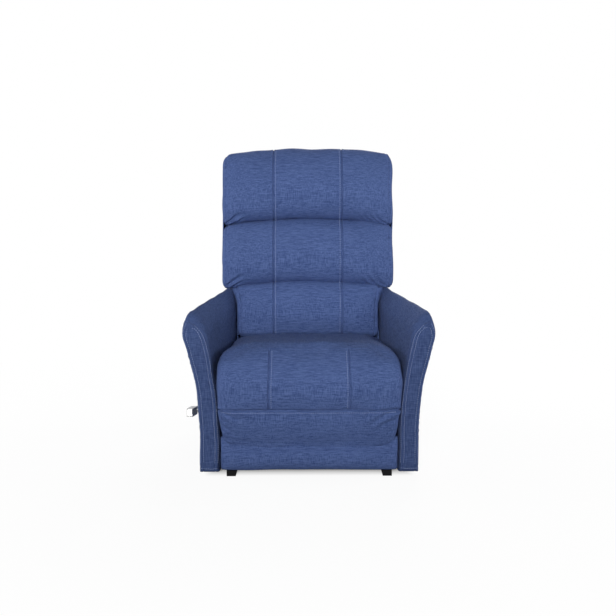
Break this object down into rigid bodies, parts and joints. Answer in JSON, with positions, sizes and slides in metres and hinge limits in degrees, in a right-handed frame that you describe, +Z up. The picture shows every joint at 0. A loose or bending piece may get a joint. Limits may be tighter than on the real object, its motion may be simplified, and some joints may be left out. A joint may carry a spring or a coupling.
{
  "type": "lift recliner chair",
  "caption": "Upholstered recliner armchair with pillow back, side hand lever for the legrest, reclining back and a powered frame that lifts and tips the seat forward.",
  "frame": {"origin": "on the floor, under the middle of the bounding box", "axes": "+X to the sitter's left, which is the viewer's right, +Y from the front to the rear of the chair, +Z up"},
  "size_m": [0.861, 0.8917, 1.111],
  "materials": {
    "denim_fabric": "blue woven cloth with a fine crosshatch",
    "dark_steel": "black powder coat",
    "zinc_steel": "zinc plated",
    "spring_wire": "oiled wire",
    "wood": "bare plywood and hardwood",
    "webbing": "black elastic webbing",
    "black_plastic": "fine grain",
    "lever_metal": "brushed and lacquered",
    "bright_metal": "polished"
  },
  "bodies": {
    "base": {"base_rail_left": "dark_steel", "base_rail_right": "dark_steel", "base_cross_tubes": "dark_steel", "base_feet": "black_plastic", "base_pivot_brackets": "dark_steel", "base_pivot_pins": "zinc_steel", "actuator_base_bracket": "dark_steel", "power_inlet": "black_plastic"},
    "front_lift": {"front_torque_tube": "dark_steel", "front_link_left": "dark_steel", "front_link_right": "dark_steel"},
    "rear_lift": {"rear_torque_tube": "dark_steel", "rear_link_left": "dark_steel", "rear_link_right": "dark_steel", "rear_link_pins": "zinc_steel", "drive_arm": "dark_steel"},
    "actuator_body": {"actuator_gear_case": "black_plastic", "actuator_motor": "dark_steel", "actuator_outer_tube": "zinc_steel"},
    "actuator_rod": {"actuator_rod": "bright_metal", "rod_clevis": "zinc_steel"},
    "chassis": {"side_plate_left": "dark_steel", "side_plate_right": "dark_steel", "seat_side_boards": "wood", "seat_cross_rails": "wood", "seat_springs": "spring_wire", "seat_cushion": "denim_fabric", "knee_roll": "denim_fabric", "hinge_pins": "zinc_steel", "arm_cover_left": "denim_fabric", "arm_cover_right": "denim_fabric", "arm_frame_left": "wood", "arm_frame_right": "wood", "arm_brackets": "zinc_steel", "lever_escutcheon": "black_plastic", "switch_plate": "black_plastic", "rear_lower_panel": "denim_fabric", "rear_skirt": "denim_fabric"},
    "legrest": {"legrest_board": "wood", "legrest_pad": "denim_fabric", "legrest_bottom_panel": "denim_fabric", "legrest_bracket_left": "dark_steel", "legrest_bracket_right": "dark_steel"},
    "hand_lever": {"lever_shaft": "zinc_steel", "lever_crank": "zinc_steel", "lever_bar": "lever_metal", "lever_end_cap": "bright_metal"},
    "drive_rod": {"drive_rod": "zinc_steel"},
    "back": {"back_frame": "wood", "back_webbing": "webbing", "back_bracket_left": "dark_steel", "back_bracket_right": "dark_steel", "lumbar_pillow": "denim_fabric", "middle_pillow": "denim_fabric", "head_pillow": "denim_fabric", "back_cover": "denim_fabric"},
    "button_up": {"button_up": "black_plastic"},
    "button_down": {"button_down": "black_plastic"}
  },
  "joints": [
    {"name": "lift", "type": "hinge", "parent": "base", "child": "front_lift", "pos_m": [0, -0.30591, 0.052], "axis": [1, 0, 0], "range_deg": [0, 48]},
    {"name": "chassis_tilt", "type": "hinge", "parent": "front_lift", "child": "chassis", "pos_m": [0, -0.11591, 0.085], "axis": [1, 0, 0], "range_deg": [-23.28, 0.2]},
    {"name": "rear_link_swing", "type": "hinge", "parent": "base", "child": "rear_lift", "pos_m": [0, -0.24591, 0.052], "axis": [1, 0, 0], "range_deg": [-0.2, 37.2]},
    {"name": "actuator_swing", "type": "hinge", "parent": "base", "child": "actuator_body", "pos_m": [0, -0.07121, 0.055], "axis": [1, 0, 0], "range_deg": [-0.2, 18.25]},
    {"name": "actuator_extend", "type": "slide", "parent": "actuator_body", "child": "actuator_rod", "axis": [0, -0.6697, 0.7426], "range_m": [-0.0005, 0.07264]},
    {"name": "back_recline", "type": "hinge", "parent": "chassis", "child": "back", "pos_m": [0, 0.14409, 0.36], "axis": [-1, 0, 0], "range_deg": [0, 40], "deforming": ["rear_skirt"]},
    {"name": "legrest", "type": "hinge", "parent": "chassis", "child": "legrest", "pos_m": [0, -0.37591, 0.365], "axis": [-1, 0, 0], "range_deg": [0, 86], "deforming": ["knee_roll"]},
    {"name": "lever_turn", "type": "hinge", "parent": "chassis", "child": "hand_lever", "pos_m": [0, -0.18091, 0.168], "axis": [-1, 0, 0], "range_deg": [-0.2, 86.2]},
    {"name": "rod_swing", "type": "hinge", "parent": "hand_lever", "child": "drive_rod", "pos_m": [0, -0.15101, 0.1047], "axis": [-1, 0, 0], "range_deg": [-86.2, 0.2]},
    {"name": "button_up_press", "type": "slide", "parent": "chassis", "child": "button_up", "axis": [-1, 0, 0], "range_m": [0, 0.0025], "stiffness_N_per_m": 400},
    {"name": "button_down_press", "type": "slide", "parent": "chassis", "child": "button_down", "axis": [-1, 0, 0], "range_m": [0, 0.0025], "stiffness_N_per_m": 400}
  ],
  "couplings": [
    {"joint": "chassis_tilt", "follows": "lift", "ratio": -0.48088},
    {"joint": "rear_link_swing", "follows": "lift", "ratio": 0.77092},
    {"joint": "actuator_swing", "follows": "lift", "ratio": 0.376},
    {"joint": "actuator_extend", "follows": "lift", "m_per_rad": 0.086112},
    {"joint": "lever_turn", "follows": "legrest", "ratio": 1},
    {"joint": "rod_swing", "follows": "legrest", "ratio": -1}
  ]
}
